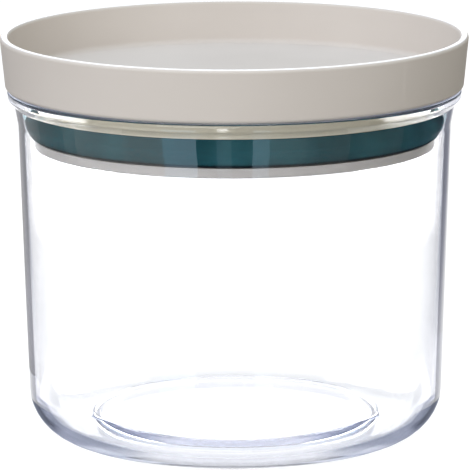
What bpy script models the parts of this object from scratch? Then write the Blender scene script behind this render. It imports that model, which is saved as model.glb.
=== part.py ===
"""Round food canister: a clear tapered container, closed by a tray-topped lid with a soft seal ring.

Every piece is turned about the Z axis. The container stands on its foot ring at height zero. The
lid's three pieces hang from the empty lid_lift, whose height is the plane where the lid rests on
the container's lip, so their outlines are drawn from that plane. Metres, +Z up.
"""

import math

import bmesh
import bpy
from mathutils import Vector

FACETS = 64
CHORD_ERROR = 0.00006
WELD_DISTANCE = 0.000001
SHARP_ANGLE = math.radians(35)

# Container: outside
RIM_HEIGHT = 0.0867
NECK_RADIUS = 0.0543
NECK_SPREAD = 0.00095
BODY_TAPER = 0.00265
LIP_WIDTH = 0.0016
LIP_DEPTH = 0.0018
LIP_UNDERCUT = 0.0017
FLARE_LENGTH = 0.0052
BASE_CORNER = 0.0122
LIP_ROUND = 0.00085
NECK_ROUND = 0.0008
FLARE_ROUND = 0.010

# Container: inside and floor
WALL = 0.0016
FLOOR = 0.0022
FOOT_WIDTH = 0.0029
PANEL_RISE = 0.0030
PANEL_DRAFT = 0.0005
PANEL_ROUND = 0.0007
MOUTH_DRAFT = 0.0002
MOUTH_ROUND = 0.0005

# Clearances between neighbours
SEAT_GAP = 0.0003
SEAL_GAP = 0.0003
JOINT_GAP = 0.0003

# Lid: tray
LID_OVERHANG = 0.0004
LID_HEIGHT = 0.0130
LID_SPREAD = 0.0013
LID_WALL = 0.0021
TRAY_FLOOR = 0.0023
TRAY_CORNER = 0.0015
RIM_ROUND = 0.0009
SKIRT_ROUND = 0.0010

# Lid: plug that reaches into the mouth
PLUG_GAP = 0.0027
PLUG_WALL = 0.0018
PLUG_ROOT_ROUND = 0.0006
SHOULDER_DROP = 0.0042
SEAT_STEP = 0.0016
HOLLOW_ROUND = 0.0010

# Lid: seal ring
SEAL_HEIGHT = 0.0070
SEAL_LAND = 0.0014
SEAL_TOP_WIDTH = 0.0016
SEAL_FOOT_WIDTH = 0.0009
SEAL_LAND_DROP = 0.0030
SEAL_ROUND = 0.0005
SEAL_LIP_ROUND = 0.0030
RELIEF_DEPTH = 0.0007
RELIEF_HEIGHT = 0.0030

# Lid: cover that closes the plug from below and holds the seal up
COVER_EDGE = 0.0024
COVER_PANEL = 0.0018
COVER_OVERHANG = 0.0008
COVER_ROUND = 0.0006
SPIGOT_WALL = 0.0015
SPIGOT_HEIGHT = 0.0056
BEAD_HEIGHT = 0.0016
BEAD_RISE = 0.0005
BEAD_DROP_FROM_TOP = 0.0008

# Colours
CLEAR_TINT = (0.93, 0.94, 0.97, 0.25)
CREAM = (0.60, 0.54, 0.49, 1.0)
SEAL_TEAL = (0.017, 0.075, 0.090, 1.0)


def clear_scene():
    for obj in list(bpy.data.objects):
        bpy.data.objects.remove(obj, do_unlink=True)


def plastic(name, color, roughness, transmission=0.0):
    material = bpy.data.materials.new(name)
    material.use_nodes = True
    shader = material.node_tree.nodes["Principled BSDF"]
    shader.inputs["Base Color"].default_value = color
    shader.inputs["Metallic"].default_value = 0.0
    shader.inputs["Roughness"].default_value = roughness
    shader.inputs["Transmission Weight"].default_value = transmission
    material.diffuse_color = color
    return material


def arc_steps(radius, sweep):
    """How many chords keep an arc within CHORD_ERROR of its true curve."""
    widest = 2 * math.acos(max(0.0, 1 - CHORD_ERROR / radius))
    return max(1, math.ceil(sweep / widest))


def half_opening(before, corner, after):
    """Half of the angle between the two sides that meet at a corner."""
    return (before - corner).angle(after - corner) / 2


def fillet(before, corner, after, reach):
    """The points of the arc that rounds a corner and starts a given reach along both sides."""
    back = (before - corner).normalized()
    ahead = (after - corner).normalized()
    half_angle = half_opening(before, corner, after)
    centre = corner + (back + ahead).normalized() * (reach / math.cos(half_angle))
    start = corner + back * reach - centre
    end = corner + ahead * reach - centre
    sweep = math.pi - 2 * half_angle
    turn = math.copysign(sweep, start.x * end.y - start.y * end.x)
    steps = arc_steps(reach * math.tan(half_angle), sweep)
    points = []
    for step in range(steps + 1):
        angle = turn * step / steps
        x = start.x * math.cos(angle) - start.y * math.sin(angle)
        y = start.x * math.sin(angle) + start.y * math.cos(angle)
        points.append(centre + Vector((x, y)))
    return points


def wanted_reaches(points, roundings, closed):
    """How far along its sides each rounding would reach, with no regard to its neighbours."""
    reaches = []
    last = len(points) - 1
    for place, (point, rounding) in enumerate(zip(points, roundings)):
        if rounding == 0 or (not closed and place in (0, last)):
            reaches.append(0.0)
            continue
        angle = half_opening(points[place - 1], point, points[(place + 1) % len(points)])
        reaches.append(rounding / math.tan(angle))
    return reaches


def rounded_outline(corners, closed):
    """Outline points through corners, each given as (radius from axis, height, fillet radius).

    Two roundings that don't both fit on the side between them share it.
    """
    points = [Vector((radius, height)) for radius, height, _ in corners]
    wanted = wanted_reaches(points, [corner[2] for corner in corners], closed)
    outline = []
    for place, point in enumerate(points):
        if wanted[place] == 0:
            outline.append(point)
            continue
        shares = []
        ends = (place - 1, (place + 1) % len(points))
        for other in ends:
            side = (points[other] - point).length
            shares.append(side / max(side, wanted[place] + wanted[other]))
        before, after = (points[other] for other in ends)
        outline.extend(fillet(before, point, after, wanted[place] * min(shares)))
    return outline


def turned(name, corners, material, closed):
    """A solid of revolution about Z. An open outline starts and ends on the axis."""
    mesh = bpy.data.meshes.new(name)
    work = bmesh.new()
    outline = [work.verts.new((point.x, 0, point.y)) for point in rounded_outline(corners, closed)]
    ends = outline[1:] + outline[:1] if closed else outline[1:]
    edges = [work.edges.new(pair) for pair in zip(outline, ends)]
    bmesh.ops.spin(
        work,
        geom=outline + edges,
        cent=(0, 0, 0),
        axis=(0, 0, 1),
        dvec=(0, 0, 0),
        angle=math.tau,
        steps=FACETS,
        use_merge=True,
    )
    bmesh.ops.remove_doubles(work, verts=work.verts, dist=WELD_DISTANCE)
    bmesh.ops.recalc_face_normals(work, faces=work.faces)
    work.to_mesh(mesh)
    work.free()
    mesh.shade_smooth()
    mesh.set_sharp_from_angle(angle=SHARP_ANGLE)
    mesh.materials.append(material)
    obj = bpy.data.objects.new(name, mesh)
    bpy.context.scene.collection.objects.link(obj)
    return obj


def neck_height():
    return RIM_HEIGHT - LIP_DEPTH - LIP_UNDERCUT


def outer_wall_radius(height):
    """Radius of the container's outer wall: a taper up to the flare, then the flare to the neck."""
    flare_height = neck_height() - FLARE_LENGTH
    flare_radius = NECK_RADIUS - NECK_SPREAD
    if height <= flare_height:
        return flare_radius - BODY_TAPER * (flare_height - height) / flare_height
    return flare_radius + NECK_SPREAD * (height - flare_height) / FLARE_LENGTH


def inner_wall_radius(height):
    return outer_wall_radius(height) - WALL


def container(material):
    """Clear body: raised centre panel, foot ring, wide base corner, flared mouth and lip."""
    lip_radius = NECK_RADIUS + LIP_WIDTH
    flare_height = neck_height() - FLARE_LENGTH
    base_radius = outer_wall_radius(0)
    panel_radius = base_radius - BASE_CORNER - FOOT_WIDTH
    panel_top = FLOOR + PANEL_RISE
    recess_radius = panel_radius - WALL
    corners = [
        (0, panel_top, 0),
        (panel_radius, panel_top, PANEL_ROUND),
        (panel_radius + PANEL_DRAFT, FLOOR, PANEL_ROUND),
        (inner_wall_radius(FLOOR), FLOOR, BASE_CORNER - WALL),
        (inner_wall_radius(flare_height), flare_height, FLARE_ROUND),
        (inner_wall_radius(neck_height()), neck_height(), 0),
        (inner_wall_radius(neck_height()) + MOUTH_DRAFT, RIM_HEIGHT, MOUTH_ROUND),
        (lip_radius, RIM_HEIGHT, LIP_ROUND),
        (lip_radius, RIM_HEIGHT - LIP_DEPTH, LIP_ROUND),
        (NECK_RADIUS, neck_height(), NECK_ROUND),
        (outer_wall_radius(flare_height), flare_height, FLARE_ROUND),
        (base_radius, 0, BASE_CORNER),
        (recess_radius + PANEL_DRAFT, 0, PANEL_ROUND),
        (recess_radius, PANEL_RISE, PANEL_ROUND),
        (0, PANEL_RISE, 0),
    ]
    return turned("container", corners, material, closed=False)


def plug_radius():
    """Outside of the plug, a stated gap inside the container's mouth."""
    return inner_wall_radius(neck_height()) - PLUG_GAP


def plug_bore():
    return plug_radius() - SEAT_STEP - PLUG_WALL


def plug_end():
    """Height of the plug's lower end, level with the seal ring's foot."""
    return -SHOULDER_DROP - SEAL_GAP - SEAL_HEIGHT


def bead_height():
    """Middle of the cover's snap bead."""
    return plug_end() - JOINT_GAP + SPIGOT_HEIGHT - BEAD_DROP_FROM_TOP - BEAD_HEIGHT / 2


def lid_tray(material):
    """Stacking tray with its plug in one moulding. A snap groove in the bore holds the cover."""
    skirt_radius = NECK_RADIUS + LIP_WIDTH + LID_OVERHANG
    rim_radius = skirt_radius + LID_SPREAD
    floor_radius = skirt_radius + LID_SPREAD * TRAY_FLOOR / LID_HEIGHT - LID_WALL
    seat_radius = plug_radius() - SEAT_STEP
    groove_radius = plug_bore() + BEAD_RISE
    groove_half = BEAD_HEIGHT / 2 + JOINT_GAP
    corners = [
        (0, TRAY_FLOOR, 0),
        (floor_radius, TRAY_FLOOR, TRAY_CORNER),
        (rim_radius - LID_WALL, LID_HEIGHT, RIM_ROUND),
        (rim_radius, LID_HEIGHT, RIM_ROUND),
        (skirt_radius, 0, SKIRT_ROUND),
        (plug_radius(), 0, PLUG_ROOT_ROUND),
        (plug_radius(), -SHOULDER_DROP, 0),
        (seat_radius, -SHOULDER_DROP, 0),
        (seat_radius, plug_end(), 0),
        (plug_bore(), plug_end(), 0),
        (plug_bore(), bead_height() - groove_half - BEAD_RISE, 0),
        (groove_radius, bead_height() - groove_half, 0),
        (groove_radius, bead_height() + groove_half, 0),
        (plug_bore(), bead_height() + groove_half + BEAD_RISE, 0),
        (plug_bore(), 0, HOLLOW_ROUND),
        (0, 0, 0),
    ]
    return turned("lid_tray", corners, material, closed=False)


def seal_ring(material):
    """Soft ring round the plug. Its bulging lip reaches the container's wall, and a relief behind it
    lets the lip give."""
    back = plug_radius() - SEAT_STEP + JOINT_GAP
    top = -SHOULDER_DROP - SEAL_GAP
    foot = top - SEAL_HEIGHT
    land_top = top - SEAL_LAND_DROP
    land_foot = land_top - SEAL_LAND
    lip = inner_wall_radius(RIM_HEIGHT + SEAT_GAP + land_foot) - SEAL_GAP
    relief_middle = land_top - SEAL_LAND / 2
    corners = [
        (back, top, 0),
        (back + SEAL_TOP_WIDTH, top, SEAL_ROUND),
        (lip, land_top, SEAL_LIP_ROUND),
        (lip, land_foot, SEAL_LIP_ROUND),
        (back + SEAL_FOOT_WIDTH, foot, SEAL_ROUND),
        (back, foot, 0),
        (back, relief_middle - RELIEF_HEIGHT / 2, 0),
        (back + RELIEF_DEPTH, relief_middle, 0),
        (back, relief_middle + RELIEF_HEIGHT / 2, 0),
    ]
    return turned("seal_ring", corners, material, closed=True)


def plug_cover(material):
    """Disc under the plug. Its edge stands out below the seal, and its spigot snaps into the bore."""
    edge_radius = plug_radius() - SEAT_STEP + COVER_OVERHANG
    edge_top = plug_end() - JOINT_GAP
    edge_foot = edge_top - COVER_EDGE
    spigot_radius = plug_bore() - JOINT_GAP
    spigot_top = edge_top + SPIGOT_HEIGHT
    bead_radius = spigot_radius + BEAD_RISE
    bead_half = BEAD_HEIGHT / 2
    panel_top = edge_foot + COVER_PANEL
    corners = [
        (0, panel_top, 0),
        (spigot_radius - SPIGOT_WALL, panel_top, COVER_ROUND),
        (spigot_radius - SPIGOT_WALL, spigot_top, 0),
        (spigot_radius, spigot_top, 0),
        (spigot_radius, bead_height() + bead_half, 0),
        (bead_radius, bead_height() + bead_half - BEAD_RISE, 0),
        (bead_radius, bead_height() - bead_half + BEAD_RISE, 0),
        (spigot_radius, bead_height() - bead_half, 0),
        (spigot_radius, edge_top, 0),
        (edge_radius, edge_top, 0),
        (edge_radius, edge_foot, COVER_ROUND),
        (0, edge_foot, 0),
    ]
    return turned("plug_cover", corners, material, closed=False)


def assemble():
    clear_scene()
    clear = plastic("clear_plastic", CLEAR_TINT, 0.04, transmission=1.0)
    cream = plastic("cream_plastic", CREAM, 0.45)
    cover_cream = plastic("cover_plastic", CREAM, 0.40)
    teal = plastic("seal_rubber", SEAL_TEAL, 0.55)
    container(clear)
    lid_lift = bpy.data.objects.new("lid_lift", None)
    lid_lift.location = (0, 0, RIM_HEIGHT + SEAT_GAP)
    bpy.context.scene.collection.objects.link(lid_lift)
    for piece in (lid_tray(cream), seal_ring(teal), plug_cover(cover_cream)):
        piece.parent = lid_lift


assemble()
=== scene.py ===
# %% [markdown]
# Round food canister with a tray lid.
# The canister is a clear, tapered plastic body closed by a cream lid. The lid's top is a shallow
# tray, and under it a plug with a teal soft seal reaches into the mouth. The CAD frame gives the
# outer sizes and the one joint, which lifts the lid. This script turns finer copies of the four
# mouldings, gives each its plastic, and lights them as for a catalogue picture.

# %% Load the frame
import math

import bmesh
import bpy
from mathutils import Matrix, Vector


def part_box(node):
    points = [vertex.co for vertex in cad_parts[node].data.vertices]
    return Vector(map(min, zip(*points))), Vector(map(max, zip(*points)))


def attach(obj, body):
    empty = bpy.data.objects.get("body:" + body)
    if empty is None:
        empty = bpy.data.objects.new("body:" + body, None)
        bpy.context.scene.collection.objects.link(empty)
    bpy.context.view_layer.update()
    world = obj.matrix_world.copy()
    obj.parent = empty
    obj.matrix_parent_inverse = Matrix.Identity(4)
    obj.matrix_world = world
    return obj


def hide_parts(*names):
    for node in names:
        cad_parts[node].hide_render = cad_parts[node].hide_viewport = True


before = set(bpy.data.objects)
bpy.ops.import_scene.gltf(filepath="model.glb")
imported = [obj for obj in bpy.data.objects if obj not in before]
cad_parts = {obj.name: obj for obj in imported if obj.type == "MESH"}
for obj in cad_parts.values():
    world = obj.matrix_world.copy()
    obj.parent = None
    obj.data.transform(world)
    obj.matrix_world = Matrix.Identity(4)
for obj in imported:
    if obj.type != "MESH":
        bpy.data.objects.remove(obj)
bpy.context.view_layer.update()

# %% [markdown]
# Sizes. The CAD boxes give the outer sizes of each moulding: the lip and height of the container,
# the rim of the tray, the seal's height and the cover's disc. Wall thicknesses and roundings are
# named with each piece, in metres, as a mould maker would list them. Reading the boxes rather than
# writing their numbers again keeps the picture and the CAD model the same size.

# %% Read the outer sizes from the frame
_, container_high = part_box("container")
tray_low, tray_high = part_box("lid_tray")
seal_low, seal_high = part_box("seal_ring")
cover_low, cover_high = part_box("plug_cover")

MM = 0.001
LIP_RADIUS = container_high[0]
RIM_HEIGHT = container_high[2]
TRAY_TOP = tray_high[2]
print("lip radius mm", round(LIP_RADIUS / MM, 2), "rim height mm", round(RIM_HEIGHT / MM, 2))
print("tray radius mm", round(tray_high[0] / MM, 2), "tray top mm", round(TRAY_TOP / MM, 2))

# %% [markdown]
# Turning by extruding. Every moulding here is round, so each starts as a flat disc or a plain ring
# of vertices. The disc is extruded from one corner of the outline to the next and scaled to the
# new radius, as by hand with E, Z and S. Then each ring of edges is bevelled to its own rounding.
# A spun curve would give the same solid, but extruded rings stay easy to select and change.

# %% Draw a turned solid ring by ring
FACETS = 256


def start_turning(name, ring, filled):
    radius, height = ring[:2]
    bpy.ops.object.select_all(action="DESELECT")
    bpy.ops.mesh.primitive_circle_add(
        vertices=FACETS,
        radius=radius,
        fill_type="NGON" if filled else "NOTHING",
        location=(0, 0, height),
    )
    piece = bpy.context.object
    piece.name = name
    piece.data.name = name
    bpy.ops.object.transform_apply(location=True, rotation=True, scale=True)
    return piece


def widen_selection(grow, height):
    bpy.ops.transform.resize(value=(grow, grow, 1), center_override=(0, 0, height))


def extrude_rings(rings):
    for (old_radius, old_height, _), (radius, height, _) in zip(rings, rings[1:]):
        bpy.ops.mesh.extrude_region_move(
            TRANSFORM_OT_translate={"value": (0, 0, height - old_height)}
        )
        widen_selection(radius / old_radius, height)


# %% Work out how far each rounding reaches
FACET_TURN = math.radians(9)
FEWEST_FACETS = 2


def opening_angle(before, corner, after):
    """Angle between the two sides that meet at a corner."""
    back = math.atan2(before[1] - corner[1], before[0] - corner[0])
    ahead = math.atan2(after[1] - corner[1], after[0] - corner[0])
    return abs((ahead - back + math.pi) % math.tau - math.pi)


def corner_openings(rings, closed):
    """The opening at each ring. An open outline runs on to the axis at both of its ends."""
    count = len(rings)
    openings = []
    for place, ring in enumerate(rings):
        before = rings[place - 1] if closed or place > 0 else (0, ring[1])
        after = rings[(place + 1) % count] if closed or place < count - 1 else (0, ring[1])
        openings.append(opening_angle(before, ring, after))
    return openings


def bevel_reaches(rings, closed):
    """Each rounding's reach along its sides, and its facets.

    Two roundings that don't both fit on a side share it.
    """
    count = len(rings)
    openings = corner_openings(rings, closed)
    wanted = [ring[2] / math.tan(opening / 2) for ring, opening in zip(rings, openings)]
    reaches = []
    for place, reach in enumerate(wanted):
        for other in (place - 1, (place + 1) % count):
            if abs(other - place) == 1 or closed:
                side = math.dist(rings[place][:2], rings[other][:2])
                reach = min(reach, wanted[place] * side / max(side, wanted[place] + wanted[other]))
        reaches.append(reach)
    turns = [math.ceil((math.pi - opening) / FACET_TURN) for opening in openings]
    return [(reach, max(FEWEST_FACETS, facets)) for reach, facets in zip(reaches, turns)]


# %% Bevel one ring of edges to a true rounding
NEAR = 0.002 * MM
ROUND_PROFILE = 0.5


def select_edges(piece, chosen):
    """Select the edges whose ends both pass a test. The piece is in edit mode."""
    bpy.ops.mesh.select_mode(type="EDGE")
    bpy.ops.mesh.select_all(action="DESELECT")
    mesh = bmesh.from_edit_mesh(piece.data)
    for edge in mesh.edges:
        if all(chosen(vert.co) for vert in edge.verts):
            edge.select_set(True)
    bmesh.update_edit_mesh(piece.data)


def bevel_ring(piece, ring, reach, segments):
    radius, height = ring[:2]

    def on_ring(spot):
        off_radius = abs(math.hypot(spot.x, spot.y) - radius)
        return off_radius < NEAR and abs(spot.z - height) < NEAR

    select_edges(piece, on_ring)
    bpy.ops.mesh.bevel(offset=reach, segments=segments, profile=ROUND_PROFILE, affect="EDGES")


# %% Put the steps of turning together
WELD = 0.0005 * MM
SHARP_ANGLE = math.radians(40)


def weld():
    bpy.ops.mesh.select_all(action="SELECT")
    bpy.ops.mesh.remove_doubles(threshold=WELD)


def finish_mesh(piece):
    weld()
    bpy.ops.mesh.normals_make_consistent(inside=False)
    bpy.ops.object.mode_set(mode="OBJECT")
    bpy.ops.object.shade_smooth_by_angle(angle=SHARP_ANGLE)
    bpy.ops.object.modifier_add(type="WEIGHTED_NORMAL")
    piece.modifiers[-1].keep_sharp = True
    bpy.ops.object.modifier_apply(modifier=piece.modifiers[-1].name)
    faces = len(piece.data.polygons)
    print(piece.name, faces, "faces, size mm", [round(side / MM, 2) for side in piece.dimensions])


def turn(name, rings, closed=False):
    """A solid of revolution from rings of radius, height and rounding.

    An open outline ends in a flat disc at both ends.
    """
    piece = start_turning(name, rings[0], filled=not closed)
    bpy.ops.object.mode_set(mode="EDIT")
    bpy.ops.mesh.select_all(action="SELECT")
    extrude_rings(rings + rings[:1] if closed else rings)
    if closed:
        weld()
    for ring, (reach, segments) in zip(rings, bevel_reaches(rings, closed)):
        if reach > 0:
            bevel_ring(piece, ring, reach, segments)
    finish_mesh(piece)
    return piece


# %% [markdown]
# The container. On the real one a single clear moulding makes the raised centre panel, the foot
# ring, the wide base corner, the tapered wall, the flared neck and the lip that carries the lid.
# A shell from one outline with a Solidify modifier would be quicker, but the lip is solid and the
# base is thicker than the wall, so the outline runs up the outside and down the inside.

# %% Sizes of the container
WALL = 1.6 * MM
FLOOR = 2.2 * MM
LIP_WIDTH = 1.6 * MM
LIP_DEPTH = 1.8 * MM
LIP_UNDERCUT = 1.7 * MM
FLARE_LENGTH = 5.2 * MM
NECK_SPREAD = 0.95 * MM
BODY_TAPER = 2.65 * MM
BASE_CORNER = 12.2 * MM
FOOT_WIDTH = 2.9 * MM
PANEL_RISE = 3.0 * MM
PANEL_DRAFT = 0.5 * MM
PANEL_ROUND = 0.7 * MM
LIP_ROUND = 0.85 * MM
NECK_ROUND = 0.8 * MM
FLARE_ROUND = 10 * MM
MOUTH_DRAFT = 0.2 * MM
MOUTH_ROUND = 0.5 * MM

neck_radius = LIP_RADIUS - LIP_WIDTH
neck_height = RIM_HEIGHT - LIP_DEPTH - LIP_UNDERCUT
flare_height = neck_height - FLARE_LENGTH


def outer_radius(height):
    """The outside of the wall: a flare under the neck and a straight taper below it."""
    if height > flare_height:
        return neck_radius - NECK_SPREAD * (neck_height - height) / FLARE_LENGTH
    return neck_radius - NECK_SPREAD - BODY_TAPER * (flare_height - height) / flare_height


print("neck radius mm", round(neck_radius / MM, 2))
print("base radius mm", round(outer_radius(0) / MM, 2))

# %% Turn the container
panel_radius = outer_radius(0) - BASE_CORNER - FOOT_WIDTH
panel_top = FLOOR + PANEL_RISE
mouth_radius = outer_radius(neck_height) - WALL

container = turn(
    "clear_container",
    [
        (panel_radius - WALL, PANEL_RISE, PANEL_ROUND),
        (panel_radius - WALL + PANEL_DRAFT, 0, PANEL_ROUND),
        (outer_radius(0), 0, BASE_CORNER),
        (outer_radius(flare_height), flare_height, FLARE_ROUND),
        (neck_radius, neck_height, NECK_ROUND),
        (LIP_RADIUS, RIM_HEIGHT - LIP_DEPTH, LIP_ROUND),
        (LIP_RADIUS, RIM_HEIGHT, LIP_ROUND),
        (mouth_radius + MOUTH_DRAFT, RIM_HEIGHT, MOUTH_ROUND),
        (mouth_radius, neck_height, 0),
        (outer_radius(flare_height) - WALL, flare_height, FLARE_ROUND),
        (outer_radius(FLOOR) - WALL, FLOOR, BASE_CORNER - WALL),
        (panel_radius + PANEL_DRAFT, FLOOR, PANEL_ROUND),
        (panel_radius, panel_top, PANEL_ROUND),
    ],
)

# %% [markdown]
# The parting line. The two halves of the mould meet on the base corner, and on the real wall that
# shows as a faint ridge. One ring of the corner's facets already lies there, so it only has to be
# selected and grown by a tenth of a millimetre. A bump would do for the look alone, but the ridge
# is real, so it belongs in the mesh.

# %% Raise the parting line
PARTING_HEIGHT = 9.94 * MM
PARTING_RIDGE = 0.10 * MM


def raise_parting_line(piece):
    """Swell the outer ring of vertices that is nearest to the parting height."""
    bpy.ops.object.mode_set(mode="EDIT")
    outside = outer_radius(0) - WALL / 2
    _, height, radius = min(
        (abs(vert.co.z - PARTING_HEIGHT), vert.co.z, vert.co.xy.length)
        for vert in bmesh.from_edit_mesh(piece.data).verts
        if vert.co.xy.length > outside
    )
    select_edges(
        piece,
        lambda spot: abs(spot.z - height) < NEAR and spot.xy.length > radius - NEAR,
    )
    widen_selection(1 + PARTING_RIDGE / radius, height)
    bpy.ops.object.mode_set(mode="OBJECT")
    print("parting line at mm", round(height / MM, 2), "radius mm", round(radius / MM, 2))


raise_parting_line(container)
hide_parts("container")
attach(container, "container")

# %% [markdown]
# The lid. Its tray has a flat floor and a slightly spread wall, and the plug below it is part of
# the same moulding. The plug's shoulder holds the seal from above. A snap groove in its bore, which
# only shows when the lid is taken apart, holds the cover. The tray and the plug could be joined
# from two solids, but one outline leaves no seam, as on the real moulding.

# %% Sizes of the lid
LID_WALL = 2.1 * MM
LID_SPREAD = 1.29 * MM
LID_OVERHANG = 0.4 * MM
SEAT_GAP = 0.3 * MM
TRAY_FLOOR = 2.3 * MM
TRAY_CORNER = 1.5 * MM
RIM_ROUND = 0.9 * MM
SKIRT_ROUND = 1.0 * MM
PLUG_GAP = 2.7 * MM
PLUG_WALL = 1.8 * MM
PLUG_ROOT_ROUND = 0.6 * MM
SEAT_STEP = 1.6 * MM
HOLLOW_ROUND = 1.0 * MM
JOINT_GAP = 0.3 * MM
BEAD_HEIGHT = 1.6 * MM
BEAD_RISE = 0.5 * MM
BEAD_DROP_FROM_TOP = 0.8 * MM

seat_height = RIM_HEIGHT + SEAT_GAP
skirt_radius = LIP_RADIUS + LID_OVERHANG
rim_radius = skirt_radius + LID_SPREAD
plug_radius = mouth_radius - PLUG_GAP
seat_radius = plug_radius - SEAT_STEP
bore_radius = seat_radius - PLUG_WALL
shoulder_height = seal_high[2] + JOINT_GAP
plug_end = tray_low[2]
tray_floor_radius = skirt_radius + LID_SPREAD * TRAY_FLOOR / (TRAY_TOP - seat_height) - LID_WALL
bead_middle = cover_high[2] - BEAD_DROP_FROM_TOP - BEAD_HEIGHT / 2
groove_half = BEAD_HEIGHT / 2 + JOINT_GAP
print("plug radius mm", round(plug_radius / MM, 2), "plug end mm", round(plug_end / MM, 2))

# %% Turn the lid
lid = turn(
    "cream_lid",
    [
        (bore_radius, seat_height, HOLLOW_ROUND),
        (bore_radius, bead_middle + groove_half + BEAD_RISE, 0),
        (bore_radius + BEAD_RISE, bead_middle + groove_half, 0),
        (bore_radius + BEAD_RISE, bead_middle - groove_half, 0),
        (bore_radius, bead_middle - groove_half - BEAD_RISE, 0),
        (bore_radius, plug_end, 0),
        (seat_radius, plug_end, 0),
        (seat_radius, shoulder_height, 0),
        (plug_radius, shoulder_height, 0),
        (plug_radius, seat_height, PLUG_ROOT_ROUND),
        (skirt_radius, seat_height, SKIRT_ROUND),
        (rim_radius, TRAY_TOP, RIM_ROUND),
        (rim_radius - LID_WALL, TRAY_TOP, RIM_ROUND),
        (tray_floor_radius, seat_height + TRAY_FLOOR, TRAY_CORNER),
    ],
)
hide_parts("lid_tray")
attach(lid, "lid")

# %% [markdown]
# The seal. A soft ring sits on the plug between the shoulder and the cover. Its lip bulges to the
# container's wall, and a groove behind the lip lets it give. A torus is quicker, but its section is
# round, and this one is flat behind. It is a closed ring, so it starts as an open circle of
# vertices and its last ring is welded to the first.

# %% Sizes of the seal
SEAL_TOP_WIDTH = 1.6 * MM
SEAL_FOOT_WIDTH = 0.9 * MM
SEAL_LAND = 1.4 * MM
SEAL_LAND_DROP = 3.0 * MM
SEAL_ROUND = 0.5 * MM
SEAL_LIP_ROUND = 3.0 * MM
SEAL_GAP = 0.3 * MM
RELIEF_DEPTH = 0.7 * MM
RELIEF_HEIGHT = 3.0 * MM

seal_top = seal_high[2]
seal_foot = seal_low[2]
seal_back = seat_radius + JOINT_GAP
land_top = seal_top - SEAL_LAND_DROP
land_foot = land_top - SEAL_LAND
relief_middle = land_top - SEAL_LAND / 2
seal_reach = outer_radius(land_foot) - WALL - SEAL_GAP
print("seal from mm", round(seal_back / MM, 2), "to mm", round(seal_reach / MM, 2))

# %% Turn the seal
seal = turn(
    "seal",
    [
        (seal_back, seal_top, 0),
        (seal_back + SEAL_TOP_WIDTH, seal_top, SEAL_ROUND),
        (seal_reach, land_top, SEAL_LIP_ROUND),
        (seal_reach, land_foot, SEAL_LIP_ROUND),
        (seal_back + SEAL_FOOT_WIDTH, seal_foot, SEAL_ROUND),
        (seal_back, seal_foot, 0),
        (seal_back, relief_middle - RELIEF_HEIGHT / 2, 0),
        (seal_back + RELIEF_DEPTH, relief_middle, 0),
        (seal_back, relief_middle + RELIEF_HEIGHT / 2, 0),
    ],
    closed=True,
)
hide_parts("seal_ring")
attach(seal, "lid")

# %% [markdown]
# The cover. A thin disc closes the plug from below. Its edge stands out under the seal, and the
# spigot on it snaps into the plug's bore with a small bead. A plain cylinder would look the same
# with the lid on, but the spigot is what holds the real one, so it is turned with the disc.

# %% Turn the cover
COVER_PANEL = 1.8 * MM
COVER_EDGE = 2.4 * MM
COVER_ROUND = 0.6 * MM
SPIGOT_WALL = 1.5 * MM

cover_foot = cover_low[2]
cover_radius = cover_high[0]
spigot_top = cover_high[2]
spigot_radius = bore_radius - JOINT_GAP
bead_half = BEAD_HEIGHT / 2

cover = turn(
    "plug_disc",
    [
        (cover_radius, cover_foot, COVER_ROUND),
        (cover_radius, cover_foot + COVER_EDGE, 0),
        (spigot_radius, cover_foot + COVER_EDGE, 0),
        (spigot_radius, bead_middle - bead_half, 0),
        (spigot_radius + BEAD_RISE, bead_middle - bead_half + BEAD_RISE, 0),
        (spigot_radius + BEAD_RISE, bead_middle + bead_half - BEAD_RISE, 0),
        (spigot_radius, bead_middle + bead_half, 0),
        (spigot_radius, spigot_top, 0),
        (spigot_radius - SPIGOT_WALL, spigot_top, 0),
        (spigot_radius - SPIGOT_WALL, cover_foot + COVER_PANEL, COVER_ROUND),
    ],
)
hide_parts("plug_cover")
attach(cover, "lid")

# %% [markdown]
# Node trees by hand take many clicks, and in code many lines. A few helpers keep them short. The
# first three add a node, fill a socket and start a material. The others each add one node and give
# its output, so that a mask or a colour can be written as one line.


# %% Add nodes, fill sockets and start materials
def add(tree, kind, **settings):
    node = tree.nodes.new("ShaderNode" + kind)
    for key, value in settings.items():
        setattr(node, key, value)
    return node


def feed(tree, value, socket):
    """Fill a socket with a number, with a colour of three numbers or from another node."""
    if isinstance(value, bpy.types.NodeSocket):
        tree.links.new(socket, value)
    elif isinstance(value, tuple):
        socket.default_value = (*value, 1)
    else:
        socket.default_value = value


def start_material(name, **inputs):
    """A new material and its Principled shader. Each input's name has _ for its spaces."""
    material = bpy.data.materials.new(name)
    material.use_nodes = True
    shader = material.node_tree.nodes["Principled BSDF"]
    for label, value in inputs.items():
        feed(material.node_tree, value, shader.inputs[label.replace("_", " ")])
    return material, shader


# %% Make masks
def calculate(tree, operation, *values):
    node = add(tree, "Math", operation=operation)
    for value, socket in zip(values, node.inputs):
        feed(tree, value, socket)
    return node.outputs[0]


def over(tree, value, limit):
    return calculate(tree, "GREATER_THAN", value, limit)


def under(tree, value, limit):
    return calculate(tree, "LESS_THAN", value, limit)


def overlap(tree, mask, *others):
    """A mask that is 1 only where all of these are."""
    for other in others:
        mask = calculate(tree, "MULTIPLY", mask, other)
    return mask


def fade(tree, value, start, end, shape="LINEAR"):
    """A mask that goes from 0 to 1 as the value goes from start to end."""
    node = add(tree, "MapRange", interpolation_type=shape)
    for label, setting in (("Value", value), ("From Min", start), ("From Max", end)):
        feed(tree, setting, node.inputs[label])
    return node.outputs["Result"]


# %% Split places and mix colours and shaders
def split(tree, vector):
    node = add(tree, "SeparateXYZ")
    feed(tree, vector, node.inputs[0])
    return node.outputs


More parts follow.
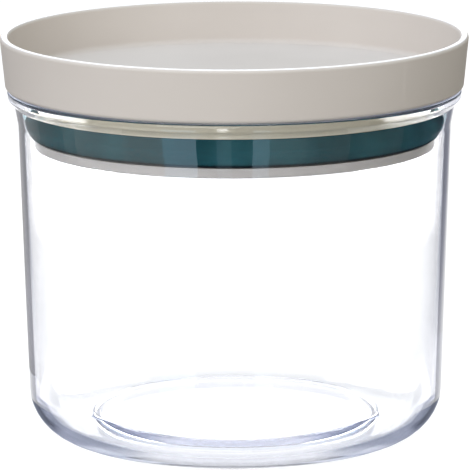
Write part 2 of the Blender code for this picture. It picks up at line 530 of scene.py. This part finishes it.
def length(tree, vector):
    node = add(tree, "VectorMath", operation="LENGTH")
    feed(tree, vector, node.inputs[0])
    return node.outputs["Value"]


MIX_INPUTS = (0, 6, 7)
MIX_OUTPUT = 2


def mix_color(tree, factor, low, high, blend="MIX"):
    """Mix two colours. A Mix node has sockets for every type, and these are its colour ones."""
    node = add(tree, "Mix", data_type="RGBA", blend_type=blend)
    for value, socket in zip((factor, low, high), MIX_INPUTS):
        feed(tree, value, node.inputs[socket])
    return node.outputs[MIX_OUTPUT]


def mix_shader(tree, factor, low, high):
    node = add(tree, "MixShader")
    for value, socket in zip((factor, low, high), node.inputs):
        feed(tree, value, socket)
    return node.outputs["Shader"]


def ramp(tree, factor, stops):
    """A colour ramp. Each stop is a place from 0 to 1 and a colour."""
    node = add(tree, "ValToRGB")
    elements = node.color_ramp.elements
    for element, (place, color) in zip(elements, (stops[0], stops[-1])):
        element.position = place
        element.color = (*color, 1)
    for place, color in stops[1:-1]:
        elements.new(place).color = (*color, 1)
    feed(tree, factor, node.inputs["Fac"])
    return node.outputs["Color"]


# %% [markdown]
# Finishes. Two effects are shared by the plastics, so each is a node group, built once. Grain is
# the fine spark-eroded texture of the mould, which breaks up the gloss. Flow is the slow, cloudy
# change of tone that a moulding has from the way the plastic filled the mould. Both are noise on
# Object coordinates, with no picture, so they have no seams and ride with the piece.


# %% Start a node group
def start_group(name, inputs, outputs):
    group = bpy.data.node_groups.new(name, "ShaderNodeTree")
    for label, value in inputs.items():
        socket = group.interface.new_socket(label, in_out="INPUT", socket_type="NodeSocketFloat")
        socket.default_value = value
    for label in outputs:
        group.interface.new_socket(label, in_out="OUTPUT", socket_type="NodeSocketFloat")
    enter = group.nodes.new("NodeGroupInput")
    leave = group.nodes.new("NodeGroupOutput")
    return group, enter.outputs, leave.inputs


def noise(tree, vector, scale, detail):
    node = add(tree, "TexNoise")
    for label, value in (("Vector", vector), ("Scale", scale), ("Detail", detail)):
        feed(tree, value, node.inputs[label])
    return node.outputs["Fac"]


# %% Build the grain and flow groups
GRAIN_DETAIL = 3.0
FLOW_DETAIL = 2.0
NOISE_MIDDLE = 0.5


def build_grain():
    """Fine, even texture. Height feeds a Bump node and Rough goes to the gloss."""
    defaults = {"Scale": 2200.0, "Roughness": 0.4, "Spread": 0.05}
    group, enter, leave = start_group("mould_grain", defaults, ("Height", "Rough"))
    place = add(group, "TexCoord").outputs["Object"]
    height = noise(group, place, enter["Scale"], GRAIN_DETAIL)
    centred = calculate(group, "SUBTRACT", height, NOISE_MIDDLE)
    rough = calculate(group, "MULTIPLY_ADD", centred, enter["Spread"], enter["Roughness"])
    feed(group, height, leave["Height"])
    feed(group, rough, leave["Rough"])
    return group


def build_flow():
    """Slow cloudy mask from 0 to 1. Stretch below 1 draws the clouds out along the height."""
    defaults = {"Scale": 30.0, "Stretch": 1.0}
    group, enter, leave = start_group("mould_flow", defaults, ("Mask",))
    place = split(group, add(group, "TexCoord").outputs["Object"])
    whole = add(group, "CombineXYZ")
    feed(group, place["X"], whole.inputs["X"])
    feed(group, place["Y"], whole.inputs["Y"])
    feed(group, calculate(group, "MULTIPLY", place["Z"], enter["Stretch"]), whole.inputs["Z"])
    feed(group, noise(group, whole.outputs[0], enter["Scale"], FLOW_DETAIL), leave["Mask"])
    return group


grain = build_grain()
flow = build_flow()
print("groups:", grain.name, flow.name)

# %% [markdown]
# The opaque plastics. Cream tray, cream plug, pale cover and teal rubber are all the same kind of
# material: a Principled BSDF whose colour drifts between two close tones by the flow mask, and
# whose roughness and bump come from the grain. They share one function and differ in its numbers.

# %% Make an opaque moulded plastic
FLOW_LOW = 0.38
FLOW_HIGH = 0.62
GLOSS_SPREAD = 0.08
GRAIN_DEPTH = 0.02 * MM


def place_group(tree, group, **values):
    node = add(tree, "Group", node_tree=group)
    for label, value in values.items():
        feed(tree, value, node.inputs[label])
    return node.outputs


def add_grain(tree, shader, bump, depth, **values):
    """Lead the grain to the shader's roughness and, as a bump, to its normal."""
    texture = place_group(tree, grain, **values)
    relief = add(tree, "Bump")
    for label, value in (("Strength", bump), ("Distance", depth), ("Height", texture["Height"])):
        feed(tree, value, relief.inputs[label])
    feed(tree, texture["Rough"], shader.inputs["Roughness"])
    feed(tree, relief.outputs["Normal"], shader.inputs["Normal"])


def moulded(name, tones, grain_scale, roughness, bump, gloss, flow_scale=22, stretch=1):
    material, shader = start_material(name, Specular_IOR_Level=gloss)
    tree = material.node_tree
    drift = place_group(tree, flow, Scale=flow_scale, Stretch=stretch)
    color = ramp(tree, drift["Mask"], ((FLOW_LOW, tones[0]), (FLOW_HIGH, tones[1])))
    feed(tree, color, shader.inputs["Base Color"])
    values = {"Scale": grain_scale, "Roughness": roughness, "Spread": GLOSS_SPREAD}
    add_grain(tree, shader, bump, GRAIN_DEPTH, **values)
    return material


# %% Cream lid, polished plug painted lighter, rim painted with a highlight, cream cover and teal seal
cream = moulded(
    "cream_plastic",
    tones=((0.635, 0.585, 0.545), (0.665, 0.615, 0.575)),
    grain_scale=2200,
    roughness=0.55,
    bump=0.15,
    gloss=0.01,
)
# The plug is the same cream plastic, polished. Its copy is painted lighter and yellower than the
# tray's, as painted light on the band under the lid's shadow.
polished_cream_painted_light = moulded(
    "polished_cream_painted_light_plastic",
    tones=((0.80, 0.75, 0.59), (0.83, 0.78, 0.62)),
    grain_scale=900,
    roughness=0.06,
    bump=0.02,
    gloss=0.6,
)
# Painted highlight: the rim's copy of the cream is near white and glossy, which paints the bright
# line along its top.
rim_painted_highlight = moulded(
    "rim_painted_highlight_plastic",
    tones=((0.96, 0.95, 0.95), (0.98, 0.97, 0.97)),
    grain_scale=1500,
    roughness=0.15,
    bump=0.02,
    gloss=1.0,
)
cover_cream = moulded(
    "cover_plastic",
    tones=((0.57, 0.55, 0.53), (0.61, 0.59, 0.57)),
    grain_scale=2200,
    roughness=0.42,
    bump=0.15,
    gloss=0.02,
)
teal = moulded(
    "seal_rubber",
    tones=((0.011, 0.066, 0.080), (0.028, 0.110, 0.130)),
    grain_scale=1500,
    roughness=0.5,
    bump=0.1,
    gloss=0.0,
    flow_scale=70,
    stretch=0.15,
)
print("opaque plastics:", [item.name for item in bpy.data.materials])

# %% [markdown]
# The seal's foot. Where the rubber sits on the cover, the real one has a thin dark line, because
# little light gets into that corner. The gap is too fine for the lamps to draw it well, so the last
# half millimetre of the rubber's own colour goes nearly black, by its height.

# %% Darken the seal's foot
FOOT_DARK = 0.4 * MM
FOOT_PLAIN = 0.9 * MM
FOOT_TONE = (0.002, 0.008, 0.010)


def shade_foot(material):
    tree = material.node_tree
    base = tree.nodes["Principled BSDF"].inputs["Base Color"]
    plain = base.links[0].from_socket
    height = split(tree, add(tree, "TexCoord").outputs["Object"])["Z"]
    dark = fade(tree, height, seal_foot + FOOT_PLAIN, seal_foot + FOOT_DARK)
    feed(tree, mix_color(tree, dark, plain, FOOT_TONE), base)


shade_foot(teal)

# %% [markdown]
# The lid has three materials on one moulding: satin cream on the tray, polished cream painted
# lighter and yellower on the plug, and a painted highlight along the top of the rim, a near-white
# glossy copy of the cream. The moulding stays in one piece, because a mesh can carry several
# materials, and each face gets the number of its own by its place and slope.

# %% Give the lid, cover and seal their finishes
HIGHLIGHT_SLOPE = 0.8
CREAM, POLISHED_PAINTED_LIGHT, RIM_HIGHLIGHT = range(3)

for finish in (cream, polished_cream_painted_light, rim_painted_highlight):
    lid.data.materials.append(finish)
plug_limit = skirt_radius - SKIRT_ROUND
for face in lid.data.polygons:
    spot = face.center
    face.material_index = CREAM
    # Upward faces along the rim's top get the painted highlight.
    if spot.z > TRAY_TOP - RIM_ROUND and face.normal.z > HIGHLIGHT_SLOPE:
        face.material_index = RIM_HIGHLIGHT
    # The plug's faces get the polished copy that is painted lighter.
    elif spot.z < seat_height + NEAR and spot.xy.length < plug_limit:
        face.material_index = POLISHED_PAINTED_LIGHT
cover.data.materials.append(cover_cream)
seal.data.materials.append(teal)

finishes = [face.material_index for face in lid.data.polygons]
print("lid's cream, polished and rim faces:", [finishes.count(n) for n in (CREAM, POLISHED_PAINTED_LIGHT, RIM_HIGHLIGHT)])

# %% [markdown]
# Clear plastic. The body is glossy see-through plastic with a faint violet cast. Plain glass would
# almost vanish in a white studio, and the real wall doesn't: it is dark where it is seen edge on.
# Here that dark is painted shade, on rays from the camera only. So the colour follows the surface,
# with one short function for each part of the container that has its own cast or painted shade.
#
# First, how a ray meets the surface: at which place, and whether the face there is upright.

# %% Read the surface of the container
FLAT_SLOPE = 0.80
UPRIGHT_SLOPE = 0.50


def read_surface(tree):
    """The place, its parts, the normal's height, and a mask that is 1 on upright faces."""
    ends = add(tree, "TexCoord").outputs
    slope = split(tree, ends["Normal"])["Z"]
    upright = fade(tree, calculate(tree, "ABSOLUTE", slope), FLAT_SLOPE, UPRIGHT_SLOPE)
    return ends["Object"], split(tree, ends["Object"]), slope, upright


# %% [markdown]
# The wall. For rays from the camera, Layer Weight says how edge on the wall is seen, and a ramp
# turns that into the faint cast and a painted shade. The steps are close together at three
# quarters, which paints the thin dark line down each side.

# %% Paint shade on the wall by how edge on it is seen
EDGE_BLEND = 0.5
CAST_AND_PAINTED_EDGE_SHADE = (
    (0.45, (0.995, 0.995, 1.0)),
    (0.735, (0.96, 0.96, 0.99)),
    (0.754, (0.85, 0.85, 0.92)),
    (0.774, (0.05, 0.05, 0.07)),
    (1.0, (0.03, 0.03, 0.05)),
)


def wall_cast_and_painted_edge_shade(tree, height, upright, seen_first):
    weight = add(tree, "LayerWeight")
    feed(tree, EDGE_BLEND, weight.inputs["Blend"])
    on_body = overlap(tree, upright, under(tree, height, neck_height))
    edge = overlap(tree, on_body, seen_first, weight.outputs["Facing"])
    return ramp(tree, edge, CAST_AND_PAINTED_EDGE_SHADE)


# %% [markdown]
# The ring in the base. The step round the raised panel shows as a grey ring through the wall: pale
# in front, dark at its sides and pale again at the back. That ring is painted shade, which goes by
# Object Y, from the panel's front to just past its middle.

# %% Paint shade on the ring round the raised panel
RING_END = 0.1
RING_PAINTED_SHADE = (
    (0.10, (0.74, 0.76, 0.82)),
    (0.40, (0.42, 0.46, 0.56)),
    (0.85, (0.42, 0.46, 0.56)),
    (1.0, (0.90, 0.91, 0.94)),
)


def add_ring_painted_shade(tree, tint, place, spot, upright):
    low = under(tree, spot["Z"], panel_top + NEAR)
    inside = under(tree, length(tree, place), panel_radius + FOOT_WIDTH)
    depth = fade(tree, spot["Y"], -panel_radius, RING_END * panel_radius)
    step = overlap(tree, low, inside, upright)
    return mix_color(tree, step, tint, ramp(tree, depth, RING_PAINTED_SHADE))


# %% [markdown]
# The mouth. With the lid off, the top face of the lip has to show as a thin blue grey ring, or the
# mouth can't be told from the white behind it. That blue grey is painted shade, on rays from the
# camera.

# %% Paint shade on the top of the lip
LEVEL_SLOPE = 0.5
MOUTH_PAINTED_SHADE = (0.62, 0.66, 0.76)


def add_mouth_painted_shade(tree, tint, height, slope, seen_first):
    upward = over(tree, slope, LEVEL_SLOPE)
    mouth = overlap(tree, upward, over(tree, height, neck_height), seen_first)
    return mix_color(tree, mouth, tint, MOUTH_PAINTED_SHADE)


# %% [markdown]
# Long ways. In the lip a ray bounces from wall to wall as in a light guide. The renderer gives up
# after a few bounces and leaves it black, so past a limit the ray goes straight out. Rays that have
# crossed the wall and are on their way back from the plug get two bounces more, or the plug's
# bright reflections would be cut off. They are told apart by their height and the walls crossed.

# %% Let long rays out
LONG_PATH = 4.5
EXTRA_PATH = 2.0
EXTRA_FROM = 28 * MM
WALL_CROSSED = 1.5
OUT_TONE = (0.88, 0.89, 0.93)


def let_long_rays_out(tree, plastic, height, path):
    high = over(tree, height, EXTRA_FROM)
    returning = overlap(tree, high, over(tree, path["Transmission Depth"], WALL_CROSSED))
    limit = calculate(tree, "MULTIPLY_ADD", returning, EXTRA_PATH, LONG_PATH)
    out = add(tree, "BsdfTransparent")
    feed(tree, OUT_TONE, out.inputs["Color"])
    return mix_shader(tree, over(tree, path["Ray Depth"], limit), plastic, out.outputs["BSDF"])


# %% [markdown]
# Put together. The cast and the painted shades go to the shader's colour. Lamps have to reach the
# seal and the floor through the plastic, and glass blocks them, so rays towards lamps pass a
# Transparent shader.

# %% Make the clear plastic
CLEAR_IOR = 1.53
CLEAR_GRAIN = {"Scale": 60, "Roughness": 0.02, "Spread": 0.02}
CLEAR_BUMP = 0.1
CLEAR_DEPTH = 0.1 * MM
LAMP_TONE = (0.95, 0.95, 0.97)


def clear_plastic():
    material, shader = start_material("clear_plastic", Transmission_Weight=1.0, IOR=CLEAR_IOR)
    tree = material.node_tree
    path = add(tree, "LightPath").outputs
    place, spot, slope, upright = read_surface(tree)
    tint = wall_cast_and_painted_edge_shade(tree, spot["Z"], upright, path["Is Camera Ray"])
    tint = add_ring_painted_shade(tree, tint, place, spot, upright)
    tint = add_mouth_painted_shade(tree, tint, spot["Z"], slope, path["Is Camera Ray"])
    feed(tree, tint, shader.inputs["Base Color"])
    add_grain(tree, shader, CLEAR_BUMP, CLEAR_DEPTH, **CLEAR_GRAIN)
    seen = let_long_rays_out(tree, shader.outputs["BSDF"], spot["Z"], path)
    lit = add(tree, "BsdfTransparent")
    feed(tree, LAMP_TONE, lit.inputs["Color"])
    whole = mix_shader(tree, path["Is Shadow Ray"], seen, lit.outputs["BSDF"])
    feed(tree, whole, tree.nodes["Material Output"].inputs["Surface"])
    return material


container.data.materials.append(clear_plastic())
print("materials:", [item.name for item in bpy.data.materials])

# %% [markdown]
# The studio. The picture is a plain cut-out look: white all round, with a trace of shadow where the
# canister stands. The floor and the world are white to the camera and through the clear plastic.
# A white sheet all round would do that too, but the glossy wall would mirror it and wash out the
# dark seal behind it. So mirror reflections see a dim studio, which is bright only in a wedge
# straight behind the canister, for the light that its base and lip lead round.

# %% Helpers for the studio
WEDGE_FRONT = (-0.09, -0.055)
NARROW_WEDGE = 0.18
WIDE_WEDGE = 0.50
ONCE = 0.5
BLACK = (0.0, 0.0, 0.0)
WHITE = (1.0, 1.0, 1.0)


def grey(level):
    return (level, level, level)


def behind(tree, place, spread, start, end):
    """A mask that is 1 in a wedge behind the canister and 0 to its sides and in front."""
    spot = split(tree, place)
    across = calculate(tree, "ABSOLUTE", spot["X"])
    lean = calculate(tree, "MULTIPLY_ADD", spot["Y"], -spread, across)
    wedge = fade(tree, lean, end, start, "SMOOTHSTEP")
    return overlap(tree, wedge, fade(tree, spot["Y"], *WEDGE_FRONT))


def by_ray(tree, direct, through, mirrored, lighting):
    """One colour straight to the camera, one through plastic, one in mirrors and one as light."""
    path = add(tree, "LightPath").outputs
    plastic = mix_color(tree, over(tree, path["Glossy Depth"], ONCE), through, mirrored)
    clean = mix_color(tree, path["Is Camera Ray"], plastic, direct)
    return mix_color(tree, over(tree, path["Diffuse Depth"], ONCE), clean, lighting)


# %% Colours of the floor through plastic and in mirrors
FLOOR_EDGE = (0.06, 0.12)
BRIGHT = grey(1.1)
# Painted shadow: a grey ring on the floor, seen through the plastic under the foot and base corner.
FOOT_PAINTED_SHADOW = (
    (0.033, WHITE),
    (0.037, (0.68, 0.69, 0.70)),
    (0.053, (0.68, 0.69, 0.70)),
    (0.062, WHITE),
)
FLOOR_GLANCE = (0.36, 0.375, 0.42)
# Painted shade: a pale stripe with dark sides under the foot, seen only in mirrors.
FOOT_PAINTED_STRIPE = (
    (0.020, (0.74, 0.76, 0.80)),
    (0.030, (0.22, 0.25, 0.32)),
)
FOOT_REACH = 0.066
PANEL_REACH = 0.036
PANEL_WIDENING = 0.8


def floor_through_plastic(tree, reach):
    """White, with a painted soft grey shadow ring under the foot and the base corner."""
    return mix_color(tree, 1.0, BRIGHT, ramp(tree, reach, FOOT_PAINTED_SHADOW), "MULTIPLY")


def floor_in_mirrors(tree, place, reach, through, wedge):
    """Dim, but white in the wedge behind. Under the foot, painted shade: a pale stripe with dark
    sides.
    """
    wide = behind(tree, place, WIDE_WEDGE, *FLOOR_EDGE)
    dim = mix_color(tree, wide, BLACK, FLOOR_GLANCE)
    under_panel = under(tree, reach, PANEL_REACH)
    widening = calculate(tree, "MULTIPLY_ADD", under_panel, PANEL_WIDENING, 1.0)
    sideways = calculate(tree, "ABSOLUTE", split(tree, place)["X"])
    stripe = ramp(tree, calculate(tree, "MULTIPLY", sideways, widening), FOOT_PAINTED_STRIPE)
    under_foot = under(tree, reach, FOOT_REACH)
    return mix_color(tree, wedge, dim, mix_color(tree, under_foot, through, stripe))


# %% Lay the floor
FLOOR_GAP = 0.2 * MM
FLOOR_SIZE = 8.0
FLOOR_GLOW = grey(0.82)
FLOOR_TONE = grey(0.35)
FLOOR_LIGHT = grey(0.40)
FLOOR_MIRRORED = ((0.05, 0.05, 0.07), (0.10, 0.10, 0.12))


def floor_material():
    material, shader = start_material(
        "studio_floor", Roughness=1.0, Specular_IOR_Level=0.0, Emission_Strength=1.0
    )
    tree = material.node_tree
    place = add(tree, "TexCoord").outputs["Object"]
    reach = length(tree, place)
    wedge = behind(tree, place, NARROW_WEDGE, *FLOOR_EDGE)
    through = floor_through_plastic(tree, reach)
    mirrored = floor_in_mirrors(tree, place, reach, through, wedge)
    glow = by_ray(tree, FLOOR_GLOW, through, mirrored, BLACK)
    tone = mix_color(tree, wedge, *FLOOR_MIRRORED)
    shade = by_ray(tree, FLOOR_TONE, FLOOR_TONE, tone, FLOOR_LIGHT)
    feed(tree, glow, shader.inputs["Emission Color"])
    feed(tree, shade, shader.inputs["Base Color"])
    return material


bpy.ops.object.select_all(action="DESELECT")
bpy.ops.mesh.primitive_plane_add(size=FLOOR_SIZE, location=(0, 0, -FLOOR_GAP))
floor = bpy.context.object
floor.name = "studio_floor"
floor.data.materials.append(floor_material())
print("floor", FLOOR_SIZE, "m square")

# %% Light the world
WORLD_EDGE = (0.0, 0.10)
WORLD_THROUGH = grey(1.45)
WORLD_DIM = (0.12, 0.13, 0.18)
WORLD_GLANCE = (0.50, 0.52, 0.60)
CEILING = (0.5, 0.8)
CEILING_TONE = (0.8, 0.85, 0.9)
RIGHT_SIDE = (-0.3, 0.8)
LEFT_LIGHT = grey(0.60)
RIGHT_LIGHT = (0.38, 0.34, 0.23)


def make_world():
    """White to the camera and dim in mirrors. As light it is dimmer and warmer on the right."""
    world = bpy.data.worlds.new("studio")
    bpy.context.scene.world = world
    world.use_nodes = True
    tree = world.node_tree
    heading = add(tree, "TexCoord").outputs["Generated"]
    parts = split(tree, heading)
    wide = behind(tree, heading, WIDE_WEDGE, *WORLD_EDGE)
    narrow = behind(tree, heading, NARROW_WEDGE, *WORLD_EDGE)
    mirrored = mix_color(tree, wide, WORLD_DIM, WORLD_GLANCE)
    mirrored = mix_color(tree, narrow, mirrored, WORLD_THROUGH)
    mirrored = mix_color(tree, fade(tree, parts["Z"], *CEILING), mirrored, CEILING_TONE)
    right = fade(tree, parts["X"], *RIGHT_SIDE)
    lighting = mix_color(tree, right, LEFT_LIGHT, RIGHT_LIGHT)
    color = by_ray(tree, WHITE, WORLD_THROUGH, mirrored, lighting)
    light = tree.nodes["Background"]
    feed(tree, color, light.inputs["Color"])
    feed(tree, 1.0, light.inputs["Strength"])
    return world


print("world:", make_world().name)

# %% [markdown]
# Floor cards. The glossy wall in front of the seal mirrors the studio as pale and dark stripes.
# A photographer gets such stripes with cards, and cards that glow on the floor round the canister
# do the same here. Only mirror reflections see them. Towards the front they lie edge to edge,
# because a gap would show as a black bar.

# %% Helpers for glowing cards
HIDDEN_FROM = ("camera", "diffuse", "shadow")


def hide_from(card, rays):
    for kind in rays:
        setattr(card, "visible_" + kind, False)


def add_card(name, **plane):
    bpy.ops.object.select_all(action="DESELECT")
    bpy.ops.mesh.primitive_plane_add(size=1, **plane)
    card = bpy.context.object
    card.name = name
    return card


def glowing(name, tint, strength, **inputs):
    """A material that glows and isn't used as a lamp."""
    material, shader = start_material(
        name, Base_Color=BLACK, Emission_Color=tint, Emission_Strength=strength, **inputs
    )
    material.cycles.emission_sampling = "NONE"
    return material, shader


# %% Lay the floor cards
CARD_NEAR = 0.10
CARD_FAR = 0.50
COOL = (0.60, 0.81, 1.0)
FLOOR_CARDS = (
    ("card_behind", -139.5, 41, 0.60, WHITE),
    ("card_back_left", -107, 24, 0.44, WHITE),
    ("card_left", -90.5, 9, 0.70, WHITE),
    ("card_wide", -71, 30, 1.08, WHITE),
    ("card_front_left", -45.25, 21.5, 1.32, WHITE),
    ("card_window", -26.25, 16.5, 2.55, COOL),
    ("card_camera", -5, 7, 0.60, COOL),
    ("card_lamp", 12.5, 8, 1.80, COOL),
    ("card_middle", 25.5, 18, 0.60, WHITE),
    ("card_far_side", 46, 23, 0.48, WHITE),
    ("card_right", 75, 35, 0.20, WHITE),
)


def make_floor_card(name, heading, spread, strength, tint):
    """A slice of a ring round the canister. Heading and spread are degrees from the front."""
    card = add_card(name)
    for vert in card.data.vertices:
        angle = math.radians(heading + math.copysign(spread / 2, vert.co.x))
        distance = CARD_FAR if vert.co.y < 0 else CARD_NEAR
        vert.co = (distance * math.sin(angle), -distance * math.cos(angle), FLOOR_GAP)
    material, _ = glowing(name, tint, strength, Roughness=1.0, Specular_IOR_Level=0.0)
    card.data.materials.append(material)
    hide_from(card, (*HIDDEN_FROM, "transmission"))


for row in FLOOR_CARDS:
    make_floor_card(*row)
print("floor cards:", len(FLOOR_CARDS))

# %% [markdown]
# Upright cards. The polished plug has two white patches at its ends and a small one near its
# middle. Lamps there would whiten the rest of the canister too, so cards make them, to the left, to
# the right and in front. They glow only for rays that have gone in and out of the wall and bounced
# off the plug. To all others they are clear, so that no other view shows them.

# %% Stand up the cards that the plug mirrors
IN_AND_OUT = 3.5
RIGHT_ANGLE = math.radians(90)
UPRIGHT_CARDS = (
    ("glow_left", (-0.150, 0.0745, 0.16), 65, (0.237, 0.30), 60.0),
    ("glow_right", (0.150, 0.0745, 0.16), -65, (0.237, 0.30), 36.0),
    ("glow_small", (-0.055, -0.50, 0.195), -7, (0.045, 0.05), 14.0),
)


def make_upright_card(name, place, heading, size, strength):
    """A standing card. Its place and size are in metres and its heading in degrees."""
    card = add_card(name, location=place)
    card.rotation_euler = (RIGHT_ANGLE, 0, math.radians(heading))
    card.scale = (*size, 1)
    bpy.ops.object.transform_apply(location=True, rotation=True, scale=True)
    material, shader = glowing(name, WHITE, strength)
    tree = material.node_tree
    path = add(tree, "LightPath").outputs
    passed = over(tree, path["Transmission Depth"], IN_AND_OUT)
    from_plug = overlap(tree, passed, over(tree, path["Glossy Depth"], ONCE))
    nothing = add(tree, "BsdfTransparent").outputs["BSDF"]
    shown = mix_shader(tree, from_plug, nothing, shader.outputs["BSDF"])
    feed(tree, shown, tree.nodes["Material Output"].inputs["Surface"])
    card.data.materials.append(material)
    hide_from(card, (*HIDDEN_FROM, "glossy"))


for row in UPRIGHT_CARDS:
    make_upright_card(*row)
print("upright cards:", len(UPRIGHT_CARDS))

# %% [markdown]
# Lamps. A wide, slightly blue soft box overhead lights the tray and its rim. The key, a smaller
# soft box, stands to the left of the camera and shapes the front of the lid. Area lamps this large
# for the canister's size keep its shadows soft, which point or sun lamps wouldn't. Neither shows
# through the clear wall.

# %% Add the lamps
MIDDLE = (0, 0, 0.07)


def soft_box(name, place, size, power, tint):
    lamp = bpy.data.lights.new(name, "AREA")
    lamp.shape = "RECTANGLE"
    lamp.size, lamp.size_y = size
    lamp.energy = power
    lamp.color = tint
    holder = bpy.data.objects.new(name, lamp)
    bpy.context.scene.collection.objects.link(holder)
    holder.location = place
    direction = Vector(place) - Vector(MIDDLE)
    holder.rotation_euler = direction.to_track_quat("Z", "Y").to_euler()
    hide_from(holder, ("camera", "transmission"))
    print(name, power, "W at", place)


soft_box("overhead", (0.0, 0.0, 0.9), size=(0.9, 0.9), power=4.6, tint=(0.67, 0.82, 1.0))
soft_box("key", (-0.34, -1.0, 0.45), size=(0.8, 0.6), power=5.05, tint=WHITE)

# %% [markdown]
# The camera. Rings of the lid and base, traced in the photograph, fit a long lens a little above
# the tray: about 1.2 metres away, looking 11 degrees down. Such a lens keeps the sides of the
# canister almost parallel, as in the photograph.

# %% Set the camera
CAMERA_PLACE = (0.0, -1.1883, 0.2810)
CAMERA_PITCH = math.radians(11.02)
CAMERA_ROLL = math.radians(0.217)
CAMERA_LENS = 374.8

camera_data = bpy.data.cameras.new("camera")
camera_data.lens = CAMERA_LENS
camera = bpy.data.objects.new("camera", camera_data)
bpy.context.scene.collection.objects.link(camera)
camera.location = CAMERA_PLACE
tilt = Matrix.Rotation(RIGHT_ANGLE - CAMERA_PITCH, 3, "X")
roll = Matrix.Rotation(-CAMERA_ROLL, 3, "Z")
camera.rotation_euler = (tilt @ roll).to_euler()
bpy.context.scene.camera = camera
bpy.context.scene.view_settings.view_transform = "Standard"
print("camera at", CAMERA_PLACE)
